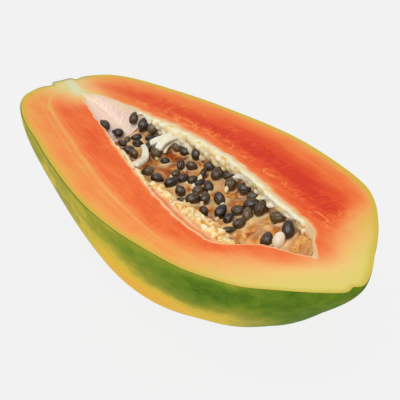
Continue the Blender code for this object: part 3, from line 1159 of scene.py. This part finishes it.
def far_ridge(rng):
    """A smooth crown along the far rim, lumps below it, and a knob at the blossom end."""
    balls = []
    for along in np.linspace(-0.066, 0.073, CROWN_BALLS):
        full = float(step(-0.070, -0.045, along))
        broad = float(step(-0.005, 0.012, along) * step(0.072, 0.055, along))
        uneven = float(rough(np.array([along, 0, 0]), 0.005))
        radius = 0.0005 + 0.0009 * full + 0.0005 * broad + 0.0003 * uneven
        inward = -0.0001 + 0.0005 * float(step(0.0, 0.03, along)) - 0.0002 * uneven
        balls.append((on_wall(along, 0.0009, 1, inward), np.array([1.2, 1.0, 0.9]) * radius))
    for along in np.arange(-0.060, 0.068, 0.00055):
        full = float(step(-0.062, -0.040, along) * step(0.085, 0.055, along))
        wide = float(step(0.034, -0.014, along))
        deep = float(bump(-0.016, 0.020, along))
        stem_end = along < -0.028
        kept = 0.55 if stem_end else 0.65 + 0.35 * wide
        if rng.uniform() > kept + 0.5 * deep:
            continue
        depth = rng.uniform(0.0014, 0.0033 + 0.0027 * full * wide + 0.0026 * deep)
        radius = rng.uniform(0.0012, 0.0024) * (0.5 + 0.5 * full) * (1.25 if stem_end else 1.0)
        inward = rng.uniform(-0.0002, 0.0012 + 0.0008 * deep) * full * (0.4 + 0.6 * wide)
        centre = on_wall(along + rng.uniform(-0.001, 0.001), depth, 1, inward)
        stretch = np.array([rng.uniform(0.9, 1.7), 1.0, rng.uniform(0.8, 1.4)])
        balls.append((centre, radius * stretch))
    for _ in range(16):
        centre = on_wall(0.073 + rng.uniform(-0.0026, 0.0026), rng.uniform(0.002, 0.0055), 1)
        balls.append((centre, rng.uniform(0.0008, 0.0015, 3)))
    return balls


def near_balls(points, balls, out, within):
    """For each point, 1 this close to a ball's centre and 0 beyond the outer distance."""
    tree = KDTree(len(balls))
    for i, (centre, _) in enumerate(balls):
        tree.insert(to_frame(centre), i)
    tree.balance()
    return step(out, within, np.array([tree.find(point)[2] for point in points]))


def near_ridge(rng):
    """The like ridge under the near rim."""
    balls = []
    for along in np.arange(-0.056, 0.004, 0.0008):
        full = float(step(-0.060, -0.045, along) * step(0.006, -0.004, along))
        depth = rng.uniform(0.0035, 0.0085)
        radius = rng.uniform(0.0009, 0.0016) * (0.5 + 0.5 * full)
        balls.append((on_wall(along, depth, -1, 0.0003), radius * np.array([1.2, 1.0, 1.2])))
    return balls


def near_edge(rng):
    """The ragged tissue that shows along the near rim."""
    balls = []
    for along in np.arange(-0.072, 0.074, 0.0005):
        torn = float(step(-0.050, -0.026, along) * step(0.020, -0.002, along))
        radius = rng.uniform(0.0003, 0.0006) + 0.0008 * torn * rng.uniform() ** 2
        inward = 0.3 * radius + 0.0024 * torn * rng.uniform()
        centre = on_wall(along, rng.uniform(0.0006, 0.0010) + 0.4 * inward, -1, inward)
        balls.append((centre, radius * np.array([rng.uniform(1.0, 2.2), 1.0, 0.8])))
    return balls


def granules(rng):
    """Crumbs of pulp heaped on the shelf's inner part, of very different sizes."""
    balls = []
    for _ in range(660):
        along = rng.uniform(-0.012, 0.075)
        share = share_at(along)
        width = shelf_at(share)[0]
        inward = rng.uniform(0.0030, 0.0175)
        ragged = 0.0020 * float(rough(np.array([along, 0, 0]), 0.006, seed=12))
        if not width * 0.42 + ragged < inward < width + ragged:
            continue
        side = inward / cavity_section(share)[1] - 1
        radius = (0.0009 + 0.0020 * rng.uniform() ** 3) * (0.7 + 0.5 * inward / 0.0175)
        depth = float(pulp_depth(share, side)) - rng.uniform(-0.7, 0.3) * radius
        balls.append((place(along, side, depth), radius * rng.uniform(0.6, 1.4, 3)))
    return balls


def listed_stalks():
    """Balls along the listed stalks, each two strands side by side."""
    balls = []
    turn = np.linspace(0, 1, 40)
    for points, (start, end) in STALKS:
        knots = [place(along * MM, side, depth * MM) for along, side, depth in points]
        knots = [(u, *knot) for u, knot in zip(np.linspace(0, 1, len(knots)), knots)]
        path = np.stack([table(knots, column, turn) for column in (1, 2, 3)], axis=1)
        across = np.cross(np.gradient(path, axis=0), [0.3, -0.4, 1.0])
        across /= np.linalg.norm(across, axis=1, keepdims=True)
        for u, centre, aside in zip(turn, path, across):
            radius = (start + (end - start) * u) * MM
            round_end = math.sqrt(max(1 - max(u - 0.9, 0) ** 2 * 70, 0.1))
            for offset in (-0.42, 0.42):
                strand = centre + offset * radius * aside
                balls.append((strand, np.full(3, 0.66 * radius * round_end)))
    return balls


def short_stalks():
    """Balls of the short stalks on which the seeds close by the far wall hang."""
    balls = []
    for _, centre, _, _ in SEED_PLACES:
        along = centre[0]
        if not -0.05 < along < 0.066:
            continue
        root = on_wall(along + 0.001, min(-centre[2] - 0.001, 0.0055), 1)
        if np.linalg.norm(root - centre) > 0.0065 or centre[1] < 0:
            continue
        for u in np.linspace(0, 0.8, 10):
            balls.append((root * (1 - u) + centre * u, np.full(3, 0.0018 - 0.0006 * u)))
    return balls


def pulp_stubs():
    """Balls of the little cream stalks between the pulp and the seeds that lie on it."""
    rng = np.random.default_rng(21)
    balls = []
    for _, centre, axis, length in SEED_PLACES:
        middle, half, _ = cavity_section(share_at(centre[0]))
        side = (centre[1] - middle) / half
        if not -0.4 < side < 0.8 or centre[0] < -0.055 or rng.uniform() > 0.7:
            continue
        back = -np.array(axis) * length * rng.uniform(0.4, 0.55)
        back[2] = -0.0008
        start = centre + 0.7 * back
        end = centre + back * rng.uniform(1.0, 1.3) + np.array([0, 0, -0.0016])
        for u in np.linspace(0, 1, 6):
            balls.append((start * (1 - u) + end * u, rng.uniform(0.0008, 0.0015, 3)))
    return balls


def fused(name, balls):
    """One skin over all the balls."""
    ball, triangles = unit_ball(2)
    points = np.concatenate([ball * radii + centre for centre, radii in balls])
    faces = np.concatenate([triangles + len(ball) * i for i in range(len(balls))])
    mesh = bpy.data.meshes.new(name)
    mesh.from_pydata(to_frame(points).tolist(), [], faces.tolist())
    lumps = bpy.data.objects.new(name, mesh)
    bpy.context.scene.collection.objects.link(lumps)
    remesh = lumps.modifiers.new("skin", "REMESH")
    remesh.mode = "VOXEL"
    remesh.voxel_size = RIDGE_VOXEL
    smooth = lumps.modifiers.new("soft", "SMOOTH")
    smooth.factor = 0.5
    smooth.iterations = 3
    evaluated = lumps.evaluated_get(bpy.context.evaluated_depsgraph_get())
    skin = bpy.data.meshes.new_from_object(evaluated)
    lumps.modifiers.clear()
    lumps.data = skin
    return lumps


def placenta():
    """The seed-bearing ridges, the granules and the stalks as one piece."""
    stalks, stubs = listed_stalks(), short_stalks()
    rng = np.random.default_rng(8)
    crown = far_ridge(rng) + near_ridge(rng) + near_edge(rng)
    crumbs = granules(rng)
    piece = fused("placenta", crown + crumbs + stalks + stubs + pulp_stubs())
    mesh = piece.data
    points = vertex_rows(mesh, "co")
    on_stalk = near_balls(points, stalks, 0.0022, 0.0011)
    on_crown = near_balls(points, crown[:CROWN_BALLS], 0.0020, 0.0012)
    crumbly = near_balls(points, crumbs, 0.0048, 0.0032)
    loose = ((1 - 0.8 * on_stalk) * (0.3 + 0.7 * crumbly))[:, None]
    for size, height, first in ((0.0030, 0.00045, 6), (0.0014, 0.00028, 16)):
        wander = np.stack([rough(points, size, first + i) for i in range(3)], axis=1)
        points += height * wander * loose
    points[:, 2] = np.minimum(points[:, 2], CUT - 0.0001)
    mesh.vertices.foreach_set("co", points.ravel())
    mesh.update()
    mesh.shade_smooth()
    mesh.materials.clear()
    mesh.materials.append(ridge_material())
    add_crests(mesh, 10)
    add_field(mesh, "white", on_stalk)
    add_field(mesh, "crumbly", crumbly)
    add_field(mesh, "crown", on_crown * step(-0.056, -0.03, points[:, 0]))
    add_field(mesh, "near", step(0.0, -0.004, points[:, 1]))
    finish_piece(piece, "pulp")


def ridge_material():
    """Cream lumps, ochre in their hollows by painted shade and lighter on their crests by painted
    light, and whiter stalks, waxy and a little translucent.
    """
    material, tree, shader = shader_material(
        "placenta",
        Roughness=0.45, Specular_IOR_Level=0.2, Subsurface_Weight=0.3, Subsurface_Scale=0.003,
        Subsurface_Radius=(1.0, 0.7, 0.4),
    )
    clouds = mottle(tree, 0.004, detail=4.0)
    # Painted shade and light: the crumbs darken to ochre in their hollows and lighten on their
    # crests.
    crumb_light = total(
        tree, product(tree, "crest", 1300.0), span(tree, clouds, 0.3, 0.7, 0.2, 0.75)
    )
    crumbs = ramp(
        tree,
        crumb_light,
        (0.0, (200, 120, 52)), (0.25, (230, 168, 90)), (0.5, (243, 204, 132)),
        (0.75, (249, 226, 170)), (1.0, (251, 238, 206)),
    )
    # Painted shade and light for the tissue and the stalks: darker in the hollows, lighter on the
    # crests.
    light = total(
        tree, product(tree, "crest", 900.0), span(tree, clouds, 0.3, 0.7, 0.35, 0.85)
    )
    tissue = ramp(
        tree,
        light,
        (0.0, (206, 138, 66)), (0.25, (232, 190, 116)), (0.5, (242, 218, 158)),
        (0.75, (246, 232, 190)), (1.0, (248, 242, 218)),
    )
    white = ramp(
        tree, light, (0.0, (206, 180, 124)), (0.4, (234, 224, 190)), (0.8, (244, 240, 222))
    )
    colour = tinted(
        tree,
        tissue,
        ("near", 0.4, (250, 206, 156)),
        ("crumbly", 1, crumbs),
        ("crown", 0.6, (242, 236, 212)),
        ("white", 1, white),
    )
    finish_shader(tree, shader, colour)
    return material


# ---- stage


def stage():
    """A plain pale floor, an even bright room and a soft light overhead."""
    floor_material, _, _ = shader_material(
        "floor",
        Base_Color=(0.03, 0.03, 0.03, 1), Roughness=1.0, Specular_IOR_Level=0.0,
        Emission_Color=(1, 1, 1, 1), Emission_Strength=FLOOR_GLOW,
    )
    bpy.ops.mesh.primitive_circle_add(vertices=64, radius=4.0, fill_type="NGON")
    floor = bpy.context.object
    floor.name = "floor"
    floor.data.materials.append(floor_material)
    world = bpy.data.worlds.new("studio")
    world.use_nodes = True
    background = world.node_tree.nodes["Background"]
    background.inputs["Color"].default_value = (ROOM_GREY, ROOM_GREY, ROOM_GREY, 1)
    background.inputs["Strength"].default_value = ROOM_STRENGTH
    bpy.context.scene.world = world
    softbox("key", *KEY_LIGHT)


def softbox(name, position, size, power):
    """A square area light that faces the fruit."""
    lamp = bpy.data.lights.new(name, "AREA")
    lamp.size = size
    lamp.energy = power
    light = bpy.data.objects.new(name, lamp)
    light.location = position
    aim = Vector((0, 0, CUT / 2)) - light.location
    light.rotation_euler = aim.to_track_quat("-Z", "Y").to_euler()
    bpy.context.scene.collection.objects.link(light)


def camera():
    """The camera, looking down on the cut face from the blossom end's right."""
    turn, rise = math.radians(CAMERA_TURN), math.radians(CAMERA_RISE)
    flat = math.cos(rise)
    back = Vector((math.sin(turn) * flat, -math.cos(turn) * flat, math.sin(rise)))
    lens = bpy.data.cameras.new("camera")
    lens.lens = CAMERA_LENS_MM
    lens.sensor_width = 36.0
    lens.clip_start = 0.01
    eye = bpy.data.objects.new("camera", lens)
    eye.location = Vector(CAMERA_TARGET) + CAMERA_DISTANCE * back
    eye.rotation_euler = (-back).to_track_quat("-Z", "Y").to_euler()
    bpy.context.scene.collection.objects.link(eye)
    bpy.context.scene.camera = eye


SEED_PLACES = seed_places()
fruit()
pulp()
placenta()
seeds()
stage()
camera()
bpy.context.scene.view_settings.view_transform = "Standard"
